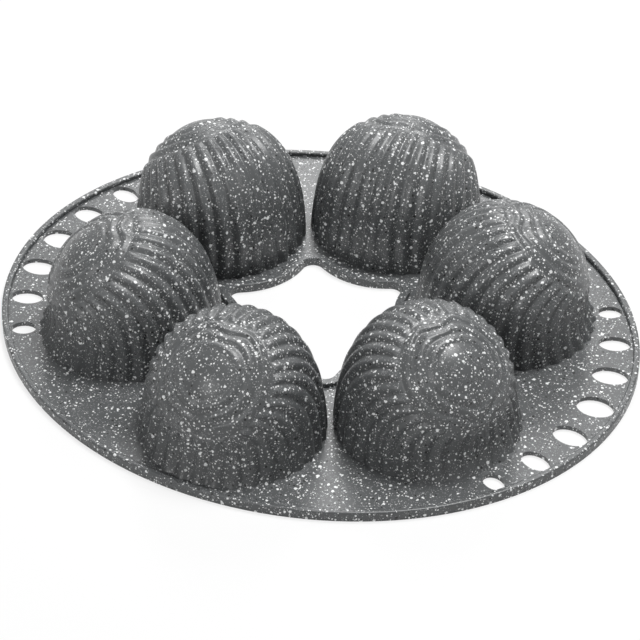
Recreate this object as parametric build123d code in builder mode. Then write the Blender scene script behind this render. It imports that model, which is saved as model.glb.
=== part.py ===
from build123d import *
import os
from math import cos, pi, radians, sin, sqrt

# Cake pan with six fluted cups, resting upside down on its rim.
# Millimetres, +Z up, origin at the middle of the pan on the surface it rests on.
# +X runs through the middle of one group of grip slots.

# Six cups in a ring, ribbed alike outside and inside
cup_count = 6
cup_first_angle = 30.0
cup_base_radius = 42.2
cup_gap = 2.3
cup_wall = 3.0

# Fluted side of a cup: its rings fan out about a hinge line beyond the cup
hinge_distance = 19.5
crown_tilt = 40.9
crown_radius = 28.0
crown_shift = 9.6
side_lean = 6.9
side_taper = 5.7
ring_count = 7
flute_count = 32
base_flute_depth = 1.0
crown_flute_depth = 1.5
crown_side_wall = 5.0

# Crown of a cup: a round knob with ribs about it, on the tilted top ring
crown_rise = 10.9
crown_inset = 0.2
crown_wall = 3.6
knob_radius = 11.3
rib_count = 3
rib_depth = 1.3

# Oval plate round the cups, and its raised rim
cup_to_rim = 1.6
grip_depth = 16.5
rim_height = 4.7
rim_width = 3.0
rim_edge_radius = 0.8
plate_thickness = 2.2
plate_recess = 0.4
mouth_edge_radius = 0.6

# Grip slots, in a fan at each end of the oval
slot_length = 17.6
slot_width = 13.8
slot_shortening = 0.68
slot_narrowing = 1.7
slot_step = 10.0
slot_clearance = 0.8
slots_each_side = 3

# Star-shaped opening in the middle, with a raised lip
cup_to_lip = 5.5
lip_width = 4.0
lip_edge_radius = 0.6
opening_arc_radius = 36.0
notch_depth = 10.7

cup_ring_radius = (cup_base_radius + cup_gap / 2) / sin(pi / cup_count)
cup_mouth_radius = cup_base_radius - cup_wall
hinge_reach = cup_base_radius + hinge_distance
rim_b = cup_ring_radius + cup_base_radius + cup_to_rim
rim_a = rim_b + grip_depth
plate_top = plate_recess + plate_thickness
opening_reach = cup_ring_radius - cup_base_radius - cup_to_lip - lip_width
notch_reach = opening_reach + notch_depth


def polar(reach, angle):
    return Vector(reach * cos(radians(angle)), reach * sin(radians(angle)))


# Outline of the opening, grown by a width: arcs that bulge in towards the middle
# in front of each cup, joined by rounded notches between the cups
def star_outline(grow):
    arc_middle = opening_reach + opening_arc_radius
    step = 360 / cup_count
    reach = opening_arc_radius + notch_reach
    notch_middle = (reach**2 - arc_middle**2) / (2 * reach - 2 * arc_middle * cos(radians(step / 2)))
    notch_radius = notch_reach - notch_middle
    share = (opening_arc_radius - grow) / (opening_arc_radius + notch_radius)
    for k in range(cup_count):
        angle = cup_first_angle + k * step
        middle = polar(arc_middle, angle)
        start = middle + (polar(notch_middle, angle - step / 2) - middle) * share
        end = middle + (polar(notch_middle, angle + step / 2) - middle) * share
        next_middle = polar(arc_middle, angle + step)
        next_start = next_middle + (polar(notch_middle, angle + step / 2) - next_middle) * share
        ThreePointArc(start, polar(opening_reach + grow, angle), end)
        ThreePointArc(end, polar(notch_reach + grow, angle + step / 2), next_start)


# Distance from the middle to the rim's inner wall in one direction
def rim_reach(angle):
    return 1 / sqrt((cos(radians(angle)) / rim_a) ** 2 + (sin(radians(angle)) / rim_b) ** 2)


# Plane of the ring at a share of the fan, from the mouth (0) to the crown (1). The
# rings lean in towards the middle of the pan, and the crown swings back out.
def ring_plane(share):
    tilt = radians(crown_tilt * share)
    reach = hinge_reach + side_lean * share - crown_shift * share**4
    origin = (hinge_reach - reach * cos(tilt), 0, reach * sin(tilt))
    return Plane(origin=origin, x_dir=(cos(tilt), 0, -sin(tilt)), z_dir=(sin(tilt), 0, cos(tilt)))


# A ring's radius: a steady taper, then the shoulder that closes in on the crown
def ring_radius(share):
    shoulder = cup_base_radius - side_taper - crown_radius
    return cup_base_radius - side_taper * share - shoulder * share**4


# Fluted outline of a ring, four points to a flute, set in from the cup's outside
def ring_outline(share, inset):
    depth = base_flute_depth + (crown_flute_depth - base_flute_depth) * share
    points = []
    for k in range(4 * flute_count):
        angle = 2 * pi * k / (4 * flute_count)
        radius = ring_radius(share) - inset - depth / 2 * (1 + cos(flute_count * angle))
        points.append((radius * cos(angle), radius * sin(angle)))
    Spline(*points, periodic=True)


# Half outline of a crown: a round arch from knob to edge, with ribs that stand up to it
def crown_outline(rise, edge):
    sag = rise - rib_depth
    arch_radius = (edge**2 + sag**2) / (2 * sag)
    pitch = (edge - knob_radius) / rib_count

    def arch_point(radius, depth):
        return Vector(radius, rise - arch_radius + sqrt(arch_radius**2 - radius**2) - depth)

    TangentArc((0, rise), arch_point(knob_radius, rib_depth), tangent=(1, 0))
    for k in range(rib_count):
        valley = knob_radius + k * pitch
        start = arch_point(valley, rib_depth)
        end = arch_point(valley + pitch, rib_depth)
        ThreePointArc(start, arch_point(valley + pitch / 2, 0), end)
    Polyline((edge, 0), (0, 0), (0, rise))


os.makedirs("parts", exist_ok=True)

# Raised rim: an oval band round the plate
with BuildPart() as rim_bead:
    with BuildSketch():
        Ellipse(rim_a + rim_width, rim_b + rim_width)
        Ellipse(rim_a, rim_b, mode=Mode.SUBTRACT)
    extrude(amount=rim_height)
    fillet(rim_bead.edges().group_by(Axis.Z)[-1], rim_edge_radius)
rim_bead.part.label = "rim_bead"
export_step(rim_bead.part, "parts/rim_bead.step")

# Raised lip round the star-shaped opening
with BuildPart() as opening_lip:
    with BuildSketch(Plane.XY.offset(plate_recess)):
        with BuildLine():
            star_outline(lip_width)
        make_face()
        with BuildLine():
            star_outline(0)
        make_face(mode=Mode.SUBTRACT)
    extrude(amount=rim_height - plate_recess)
    fillet(opening_lip.edges().group_by(Axis.Z)[-1], lip_edge_radius)
opening_lip.part.label = "opening_lip"
export_step(opening_lip.part, "parts/opening_lip.step")

# Plate between rim and lip, with a mouth under each cup and the grip slots
with BuildPart() as base_plate:
    with BuildSketch(Plane.XY.offset(plate_recess)):
        Ellipse(rim_a, rim_b)
        with BuildLine():
            star_outline(lip_width)
        make_face(mode=Mode.SUBTRACT)
        with PolarLocations(cup_ring_radius, cup_count, start_angle=cup_first_angle):
            Circle(cup_mouth_radius, mode=Mode.SUBTRACT)
        for k in range(-slots_each_side, slots_each_side + 1):
            length = slot_length - slot_shortening * k**2
            width = slot_width - slot_narrowing * abs(k)
            for angle in (k * slot_step, 180 + k * slot_step):
                reach = rim_reach(angle) - slot_clearance - length / 2
                with Locations(Location(polar(reach, angle), (0, 0, angle))):
                    Ellipse(length / 2, width / 2, mode=Mode.SUBTRACT)
    extrude(amount=plate_thickness)
    round_edges = base_plate.edges().group_by(Axis.Z)[0].filter_by(GeomType.CIRCLE)
    fillet(round_edges.filter_by(lambda e: e.is_closed), mouth_edge_radius)
base_plate.part.label = "base_plate"
export_step(base_plate.part, "parts/base_plate.step")

# Hollow inside of a cup
top = ring_plane(1)
crown_plane = Plane(origin=top.origin, x_dir=top.x_dir, z_dir=(0, -1, 0))
crown_edge = crown_radius - crown_flute_depth - crown_inset
with BuildPart() as hollow:
    for k in range(ring_count):
        share = k / (ring_count - 1)
        with BuildSketch(ring_plane(share)):
            with BuildLine():
                ring_outline(share, cup_wall + (crown_side_wall - cup_wall) * share)
            make_face()
    loft()
    with BuildSketch(crown_plane):
        with BuildLine():
            crown_outline(crown_rise - crown_wall, crown_edge - crown_side_wall)
        make_face()
    revolve(axis=Axis(top.origin, top.z_dir))

# One cup: fluted side lofted through the fan of rings, and the ribbed crown
with BuildPart() as cup_shell:
    for k in range(ring_count):
        share = k / (ring_count - 1)
        with BuildSketch(ring_plane(share)):
            with BuildLine():
                ring_outline(share, 0)
            make_face()
    loft()
    with BuildSketch(crown_plane):
        with BuildLine():
            crown_outline(crown_rise, crown_edge)
        make_face()
    revolve(axis=Axis(top.origin, top.z_dir))
    add(hollow.part, mode=Mode.SUBTRACT)

for k in range(cup_count):
    angle = cup_first_angle + k * 360 / cup_count
    with BuildPart() as cup:
        with Locations(Location(polar(cup_ring_radius, angle) + Vector(0, 0, plate_top), (0, 0, angle))):
            add(cup_shell.part)
    cup.part.label = f"cup_{k + 1}"
    export_step(cup.part, f"parts/cup_{k + 1}.step")
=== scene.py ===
# %% [markdown]
# # A cast cake pan, dressed for its portrait
#
# The pan lies upside down: six fluted cups stand in a ring on an oval plate with a
# raised rim, a star-shaped opening in the middle and a fan of slots in each end. The
# whole pan is one casting with a speckled dark grey coat.
#
# The CAD model gives every place and size. Here the cups get their finely ribbed
# skins, every surface gets its coat, and the pan gets a floor, soft light and a camera.

from math import cos, exp, hypot, pi, radians, sin, sqrt

import bmesh
import bpy
from mathutils import Matrix, Vector


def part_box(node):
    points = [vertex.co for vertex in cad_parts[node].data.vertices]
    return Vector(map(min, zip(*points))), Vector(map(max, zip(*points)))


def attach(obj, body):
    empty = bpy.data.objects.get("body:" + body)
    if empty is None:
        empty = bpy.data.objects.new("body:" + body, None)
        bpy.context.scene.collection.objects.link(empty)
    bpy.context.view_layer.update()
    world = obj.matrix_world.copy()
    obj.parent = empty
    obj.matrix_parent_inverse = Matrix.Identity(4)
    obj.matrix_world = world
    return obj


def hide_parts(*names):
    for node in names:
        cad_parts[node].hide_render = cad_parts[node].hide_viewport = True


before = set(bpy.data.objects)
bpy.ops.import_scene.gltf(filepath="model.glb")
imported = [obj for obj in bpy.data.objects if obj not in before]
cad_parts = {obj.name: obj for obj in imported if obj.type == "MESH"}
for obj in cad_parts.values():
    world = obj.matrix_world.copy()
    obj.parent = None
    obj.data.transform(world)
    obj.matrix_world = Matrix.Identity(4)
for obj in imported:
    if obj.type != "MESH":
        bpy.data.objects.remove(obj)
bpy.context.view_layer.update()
mm = 0.001
print("CAD nodes:", sorted(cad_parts))

# %% [markdown]
# ## The camera
#
# A product shot like this one is taken from far away with a long lens, so that near
# and far cups look almost the same size. The camera could be aimed with a Track To
# constraint, but an azimuth, an elevation and a small roll say the same thing in three
# numbers and leave nothing live in the scene.

# %% Camera at the photograph's viewing angle
view_azimuth = radians(25.353)
view_elevation = radians(37.554)
camera_roll = radians(1.34)
camera_place = Vector((0.4564, -0.9620, 0.8213))
lens_length = 163.5
sensor_width = 36.0

looking = Vector((
    -sin(view_azimuth) * cos(view_elevation),
    cos(view_azimuth) * cos(view_elevation),
    -sin(view_elevation),
))
camera_data = bpy.data.cameras.new("portrait_camera")
camera_data.lens = lens_length
camera_data.sensor_width = sensor_width
camera = bpy.data.objects.new("portrait_camera", camera_data)
camera.location = camera_place
aim = looking.to_track_quat("-Z", "Y").to_matrix()
camera.rotation_euler = (aim @ Matrix.Rotation(camera_roll, 3, "Z")).to_euler()
bpy.context.scene.collection.objects.link(camera)
bpy.context.scene.camera = camera
print("camera is", round(camera_place.length, 3), "m from the middle of the pan")

# %% [markdown]
# ## Floor, backdrop and light
#
# The pan is shown on plain white. A white plane lit brightly enough to clip would
# also throw too much light on the pan, so the floor shows its own white to the camera
# and in reflections, mixed with a real white surface that still takes a soft shadow.

# %% Helpers for nodes and materials
def add_node(tree, kind, inputs=None, **settings):
    """Make a node. Each input is a constant, or the socket of another node to wire up."""
    node = tree.nodes.new(kind)
    for name, value in settings.items():
        setattr(node, name, value)
    for name, value in (inputs or {}).items():
        if isinstance(value, bpy.types.NodeSocket):
            tree.links.new(value, node.inputs[name])
        else:
            node.inputs[name].default_value = value
    return node


def new_material(name):
    """Make a material with an empty node tree."""
    material = bpy.data.materials.new(name)
    material.use_nodes = True
    material.node_tree.nodes.clear()
    return material, material.node_tree


def seen_directly(tree):
    """1 for the camera's own rays and for rays off or through a shiny surface, else 0."""
    path = add_node(tree, "ShaderNodeLightPath")
    shiny = add_node(tree, "ShaderNodeMath", {0: path.outputs["Is Glossy Ray"],
                                              1: path.outputs["Is Transmission Ray"]},
                     operation="MAXIMUM")
    seen = add_node(tree, "ShaderNodeMath", {0: path.outputs["Is Camera Ray"], 1: shiny.outputs[0]},
                    operation="MAXIMUM")
    return seen.outputs[0]


print("helpers: add_node, new_material, seen_directly")

# %% White floor that keeps a soft shadow
floor_half_width = 6.0
floor_white = (0.93, 0.93, 0.93, 1.0)
shadow_share = 0.25

floor_material, tree = new_material("white_floor")
surface = add_node(tree, "ShaderNodeBsdfDiffuse", {"Color": floor_white})
glow = add_node(tree, "ShaderNodeEmission", {"Color": (1, 1, 1, 1), "Strength": 1.0})
shown = add_node(tree, "ShaderNodeMath", {0: seen_directly(tree), 1: 1 - shadow_share},
                 operation="MULTIPLY")
blend = add_node(tree, "ShaderNodeMixShader", {0: shown.outputs[0]})
tree.links.new(surface.outputs[0], blend.inputs[1])
tree.links.new(glow.outputs[0], blend.inputs[2])
add_node(tree, "ShaderNodeOutputMaterial", {"Surface": blend.outputs[0]})

floor_bm = bmesh.new()
bmesh.ops.create_grid(floor_bm, x_segments=1, y_segments=1, size=floor_half_width)
floor_mesh = bpy.data.meshes.new("floor")
floor_bm.to_mesh(floor_mesh)
floor_bm.free()
floor_mesh.materials.append(floor_material)
floor = bpy.data.objects.new("floor", floor_mesh)
bpy.context.scene.collection.objects.link(floor)
print("floor is", floor.dimensions.x, "m wide")

# %% White world and soft lamps
world_light = 0.1
world = bpy.data.worlds.new("white_studio")
bpy.context.scene.world = world
world.use_nodes = True
world.node_tree.nodes.clear()
strength = add_node(world.node_tree, "ShaderNodeMapRange",
                    {"Value": seen_directly(world.node_tree), "To Min": world_light, "To Max": 1.0})
light = add_node(world.node_tree, "ShaderNodeBackground",
                 {"Color": (1, 1, 1, 1), "Strength": strength.outputs[0]})
add_node(world.node_tree, "ShaderNodeOutputWorld", {"Surface": light.outputs[0]})


def soft_lamp(name, place, width, watts):
    """A square soft box that faces the middle of the pan."""
    lamp_data = bpy.data.lights.new(name, "AREA")
    lamp_data.size = width
    lamp_data.energy = watts
    lamp = bpy.data.objects.new(name, lamp_data)
    lamp.location = place
    lamp.rotation_euler = (-Vector(place)).to_track_quat("-Z", "Y").to_euler()
    bpy.context.scene.collection.objects.link(lamp)


soft_lamp("overhead_softbox", place=(0.15, 0.35, 1.2), width=0.5, watts=15)
soft_lamp("back_softbox", place=(-0.5, 1.1, 0.9), width=0.4, watts=5)
soft_lamp("front_softbox", place=(-0.2, -1.3, 0.9), width=0.6, watts=5)

# %% [markdown]
# ## The speckled coat
#
# Non-stick coats of this kind are sprayed in layers: a dark grey ground, then flecks of
# grey, white and a few of black. A noise texture cut off at a level would give blotches
# of one size. A Voronoi texture scatters one point in each cell, and a circle round
# each point, of a size picked by the cell's own random colour, gives separate flecks.
# The group below makes one layer of flecks, and the coat uses it four times.

# %% Node group: one layer of flecks
ragged_scale = 1100.0
ragged_shift = 0.9 * mm
smallest_fleck = 0.45
sharp_share = 0.85


def new_socket(tree, name, direction, kind, value=None):
    """Give a node group an input or an output, with a default value if it has one."""
    socket = tree.interface.new_socket(name, in_out=direction, socket_type=kind)
    if value is not None:
        socket.default_value = value


fleck_tree = bpy.data.node_groups.new("flecks", "ShaderNodeTree")
new_socket(fleck_tree, "Place", "INPUT", "NodeSocketVector")
new_socket(fleck_tree, "Spacing", "INPUT", "NodeSocketFloat", 2.0 * mm)
new_socket(fleck_tree, "Size", "INPUT", "NodeSocketFloat", 0.3)
new_socket(fleck_tree, "Share", "INPUT", "NodeSocketFloat", 0.5)
new_socket(fleck_tree, "Mask", "OUTPUT", "NodeSocketFloat")
given = add_node(fleck_tree, "NodeGroupInput")
ragged = add_node(fleck_tree, "ShaderNodeTexNoise",
                  {"Vector": given.outputs["Place"], "Scale": ragged_scale, "Detail": 1.0})
centred = add_node(fleck_tree, "ShaderNodeVectorMath",
                   {0: ragged.outputs["Color"], 1: (0.5, 0.5, 0.5)}, operation="SUBTRACT")
shift = add_node(fleck_tree, "ShaderNodeVectorMath",
                 {0: centred.outputs[0], "Scale": ragged_shift}, operation="SCALE")
placed = add_node(fleck_tree, "ShaderNodeVectorMath",
                  {0: given.outputs["Place"], 1: shift.outputs[0]}, operation="ADD")
per_metre = add_node(fleck_tree, "ShaderNodeMath", {0: 1.0, 1: given.outputs["Spacing"]},
                     operation="DIVIDE")
cells = add_node(fleck_tree, "ShaderNodeTexVoronoi",
                 {"Vector": placed.outputs[0], "Scale": per_metre.outputs[0]})
chance = add_node(fleck_tree, "ShaderNodeSeparateColor", {"Color": cells.outputs["Color"]})
chosen = add_node(fleck_tree, "ShaderNodeMath",
                  {0: chance.outputs["Red"], 1: given.outputs["Share"]}, operation="LESS_THAN")
own_size = add_node(fleck_tree, "ShaderNodeMapRange",
                    {"Value": chance.outputs["Green"], "To Min": smallest_fleck, "To Max": 1.0})
reach = add_node(fleck_tree, "ShaderNodeMath",
                 {0: own_size.outputs[0], 1: given.outputs["Size"]}, operation="MULTIPLY")
full = add_node(fleck_tree, "ShaderNodeMath",
                {0: reach.outputs[0], 1: sharp_share}, operation="MULTIPLY")
dot = add_node(fleck_tree, "ShaderNodeMapRange",
               {"Value": cells.outputs["Distance"], "From Min": reach.outputs[0],
                "From Max": full.outputs[0]})
mask = add_node(fleck_tree, "ShaderNodeMath", {0: dot.outputs[0], 1: chosen.outputs[0]},
                operation="MULTIPLY")
add_node(fleck_tree, "NodeGroupOutput", {"Mask": mask.outputs[0]})
print("group:", fleck_tree.name)

# %% The coat: cloudy grey ground, then flecks of grey, of white in two sizes and of black
cloud_scale = 60.0
smoothest, roughest = 0.3, 0.42
grain_scale = 1400.0
grain_strength = 0.25
grain_height = 0.1 * mm
ground_dark = (0.062, 0.066, 0.068, 1.0)
ground_light = (0.1, 0.105, 0.107, 1.0)
fleck_white = (0.86, 0.87, 0.87, 1.0)
fleck_grey = (0.26, 0.265, 0.27, 1.0)
fleck_black = (0.006, 0.006, 0.006, 1.0)

coat, tree = new_material("granite_coat")
place = add_node(tree, "ShaderNodeTexCoord").outputs["Object"]
cloudy = add_node(tree, "ShaderNodeTexNoise", {"Vector": place, "Scale": cloud_scale, "Detail": 3.0})
ground = add_node(tree, "ShaderNodeMix",
                  {"Factor": cloudy.outputs["Fac"], "A": ground_dark, "B": ground_light},
                  data_type="RGBA")
layers = (
    (fleck_grey, {"Spacing": 0.8 * mm, "Size": 0.46, "Share": 0.6}),
    (fleck_white, {"Spacing": 1.3 * mm, "Size": 0.38, "Share": 0.5}),
    (fleck_white, {"Spacing": 3.0 * mm, "Size": 0.3, "Share": 0.5}),
    (fleck_black, {"Spacing": 2.6 * mm, "Size": 0.26, "Share": 0.5}),
)
colour = ground.outputs["Result"]
for tone, sizes in layers:
    flecks = tree.nodes.new("ShaderNodeGroup")
    flecks.node_tree = fleck_tree
    tree.links.new(place, flecks.inputs["Place"])
    for name, value in sizes.items():
        flecks.inputs[name].default_value = value
    over = add_node(tree, "ShaderNodeMix",
                    {"Factor": flecks.outputs["Mask"], "A": colour, "B": tone}, data_type="RGBA")
    colour = over.outputs["Result"]
grain = add_node(tree, "ShaderNodeTexNoise", {"Vector": place, "Scale": grain_scale, "Detail": 2.0})
bump = add_node(tree, "ShaderNodeBump", {"Height": grain.outputs["Fac"], "Strength": grain_strength,
                                         "Distance": grain_height})
rough = add_node(tree, "ShaderNodeMapRange",
                 {"Value": cloudy.outputs["Fac"], "To Min": smoothest, "To Max": roughest})
shader = add_node(tree, "ShaderNodeBsdfPrincipled",
                  {"Base Color": colour, "Roughness": rough.outputs[0], "Normal": bump.outputs[0]})
add_node(tree, "ShaderNodeOutputMaterial", {"Surface": shader.outputs[0]})
print("coat layers:", len(layers))

# %% [markdown]
# ## The shape of a cup
#
# A cup is not round about an upright line. Its flutes fan up the side from the plate to
# a round crease, and on that tilted crease sits a crown of ribs round a smooth knob.
# Each level of the side is a ring, and the rings tilt one by one, as if they hung on one
# hinge line outside the cup. The side also leans in towards the middle of the pan, and
# near the crown it swings back out. So a point on the cup needs only two numbers: the
# angle round its ring, and how far up the side, or in across the crown, it lies.

# %% Driving sizes of a cup, as in the CAD model
hinge_reach = 61.7 * mm
crown_tilt = radians(40.9)
cup_base_radius = 42.2 * mm
crown_radius = 28.0 * mm
crown_shift = 9.6 * mm
side_lean = 6.9 * mm
side_taper = 5.7 * mm
shoulder_power = 4
crown_rise = 10.9 * mm
crown_edge = 26.3 * mm
crown_edge_height = 1.3 * mm
knob_radius = 11.3 * mm
flute_count = 32
rib_count = 3
cup_wall = 3.0 * mm
crown_side_wall = 5.0 * mm
crown_wall = 3.6 * mm
print("flutes on a cup:", flute_count)


# %% One rib across: broad and round on top, with a narrow valley beside it
rib_roundness = 0.7


def rib_wave(turn):
    """0 in a valley, 1 on a crest, for a place counted in ribs."""
    return (0.5 - 0.5 * cos(2 * pi * turn)) ** rib_roundness


def smooth_step(x):
    """From 0 to 1 without a kink at either end."""
    x = min(max(x, 0.0), 1.0)
    return x * x * (3 - 2 * x)


print("rib height a quarter of the way across:", round(rib_wave(0.25), 2))

# %% Place of a point on the fluted side
base_flute_depth = 1.5 * mm
crown_flute_depth = 1.6 * mm
flute_end = 1.6 * mm


def on_ring(share, angle, radius, height=0.0):
    """A point at an angle and radius in a ring's plane, and at a height above it."""
    tilt = crown_tilt * share
    reach = hinge_reach + side_lean * share - crown_shift * share**shoulder_power
    middle = Vector((hinge_reach - reach * cos(tilt), 0, reach * sin(tilt)))
    outward = Vector((cos(tilt), 0, -sin(tilt)))
    upward = Vector((sin(tilt), 0, cos(tilt)))
    across = Vector((0, 1, 0))
    return middle + outward * radius * cos(angle) + across * radius * sin(angle) + upward * height


def side_point(angle, share, inset):
    """A point on the side. A flute keeps its height up to the crease and ends round there."""
    shoulder = cup_base_radius - side_taper - crown_radius
    radius = cup_base_radius - side_taper * share - shoulder * share**shoulder_power
    depth = base_flute_depth + (crown_flute_depth - base_flute_depth) * share
    to_crease = (1 - share) * crown_tilt * (hinge_reach - radius * cos(angle))
    end = min(to_crease / flute_end, 1.0)
    wave = rib_wave(flute_count * angle / (2 * pi)) * sqrt(1 - (1 - end) ** 2)
    return on_ring(share, angle, radius - inset - depth * (1 - wave))


print("a point halfway up the side:", side_point(0.0, 0.5, 0.0))

# %% Place of a point on the ribbed crown
rib_depth = 1.5 * mm
knob_step = 0.7 * mm
seam_shift = 2.8 * mm
seam_wave = 24.0 * mm
seam_fade = 16.0 * mm
seam_pinch = 0.5
pinch_width = 2.5 * mm
calm_edge = 0.15


def arch_height(radius, rise):
    """Height of the round dome that the rib crests touch."""
    sag = rise - crown_edge_height
    arch_radius = (crown_edge**2 + sag**2) / (2 * sag)
    return rise - arch_radius + sqrt(arch_radius**2 - radius**2)


def crown_height(x, y, rise):
    """Height above the crease: ribs about the knob, which swing outward along the seam."""
    radius = hypot(x, y)
    if radius < knob_radius:
        knob_foot = arch_height(knob_radius, rise) - knob_step
        return rise - (rise - knob_foot) * (radius / knob_radius) ** 2
    out = min((radius - knob_radius) / (crown_edge - knob_radius), 1.0)
    depth = knob_step + (rib_depth - knob_step) * out
    swing = seam_shift * out * cos(2 * pi * y / seam_wave) * exp(-((y / seam_fade) ** 2))
    swing *= smooth_step((1 - out) / calm_edge)
    turn = (hypot(x - swing, y) - knob_radius) / (crown_edge - knob_radius) * rib_count
    rib = rib_wave(turn)
    if x > 0:
        rib *= 1 - seam_pinch * exp(-((y / pinch_width) ** 2))
    return arch_height(min(radius, crown_edge), rise) - depth * (1 - rib)


def crown_point(angle, inward, inside):
    """A point on the crown at a share of the way in from the crease to the knob's middle."""
    edge = crown_edge - crown_side_wall if inside else crown_edge
    rise = crown_rise - crown_wall if inside else crown_rise
    radius = crown_edge * (1 - inward)
    height = crown_height(radius * cos(angle), radius * sin(angle), rise)
    return on_ring(1.0, angle, edge * (1 - inward), height)


print("the middle of the knob:", crown_point(0.0, 1.0, False))

# %% [markdown]
# ## Skin of a cup
#
# The skin is one net. It starts as a flat grid, with one column for each angle and one
# row for each level: from the middle of the hollow out and down to the mouth, across
# the foot, then up the outside and in to the middle of the knob. Moving each knot of
# the net to its place wraps it round the cup, and merging the knots that meet closes the
# seam and both middles. A lathe (spin) can't do this, because no two profiles of this cup
# are alike, and an inside and an outside bridged afterwards could twist at the mouth.

# %% Levels of the net: 0 at the mouth, 1 at the crease, 2 at the middle of the crown
flute_columns = 12
side_rows = 54
crown_rows = 60
crowding = 1.5


def climb(side_steps, crown_steps):
    """Levels from the mouth to the middle of the crown, closest together at the crease."""
    side = [1 - (1 - k / side_steps) ** crowding for k in range(side_steps)]
    crown = [1 + k / crown_steps for k in range(crown_steps + 1)]
    return side + crown


net_rows = [(level, True) for level in reversed(climb(side_rows // 2, crown_rows // 2))]
net_rows += [(level, False) for level in climb(side_rows, crown_rows)]
print("levels in the net:", len(net_rows))


# %% Wrap the net round one cup
merge_distance = 0.002 * mm


def net_point(angle, level, inside):
    """Where a knot of the net goes: its angle, its level, and on which face of the wall."""
    if level > 1:
        return crown_point(angle, level - 1, inside)
    wall = cup_wall + (crown_side_wall - cup_wall) * level if inside else 0.0
    return side_point(angle, level, wall)


cup_bm = bmesh.new()
net = bmesh.ops.create_grid(cup_bm, x_segments=flute_count * flute_columns,
                            y_segments=len(net_rows) - 1, size=1.0)
for vert in net["verts"]:
    row = round((vert.co.y + 1) / 2 * (len(net_rows) - 1))
    vert.co = net_point(pi * (vert.co.x + 1), *net_rows[row])
bmesh.ops.remove_doubles(cup_bm, verts=cup_bm.verts, dist=merge_distance)
bmesh.ops.recalc_face_normals(cup_bm, faces=cup_bm.faces)
for face in cup_bm.faces:
    face.smooth = True
open_edges = sum(1 for edge in cup_bm.edges if not edge.is_manifold)
longest = max(edge.calc_length() for edge in cup_bm.edges)
print("one cup:", len(cup_bm.faces), "faces,", open_edges, "open edges, longest",
      round(longest / mm, 1), "mm, volume", round(cup_bm.calc_volume() / mm**3), "mm3")

# %% Six cups in a ring, each standing where its CAD node stands
cup_ring_radius = 86.7 * mm
cup_first_angle = radians(30)
cup_count = 6
sharp_angle = radians(50)
plate_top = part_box("cup_1")[0].z
from_middle = Matrix.Translation((cup_ring_radius, 0, plate_top))

for k in range(cup_count):
    name = f"cup_{k + 1}"
    to_place = Matrix.Rotation(cup_first_angle + 2 * pi * k / cup_count, 4, "Z") @ from_middle
    mesh = bpy.data.meshes.new(name + "_skin")
    cup_bm.to_mesh(mesh)
    mesh.transform(to_place)
    mesh.set_sharp_from_angle(angle=sharp_angle)
    mesh.materials.append(coat)
    cup = bpy.data.objects.new(name + "_skin", mesh)
    bpy.context.scene.collection.objects.link(cup)
    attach(cup, "root")
    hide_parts(name)
cup_bm.free()
print("cups:", cup_count)

# %% [markdown]
# ## Plate, rim and lip
#
# The plate, its rim and the lip round the opening are plain castings whose CAD shape is
# right as it is. They stay, and get the same coat as the cups.

# %% Coat the CAD nodes that stay
for name in ("base_plate", "rim_bead", "opening_lip"):
    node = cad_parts[name]
    node.data.materials.clear()
    node.data.materials.append(coat)
print("coated: base_plate, rim_bead, opening_lip")

# %% [markdown]
# ## View settings

# %% Plain view settings and the end
bpy.context.scene.view_settings.view_transform = "Standard"
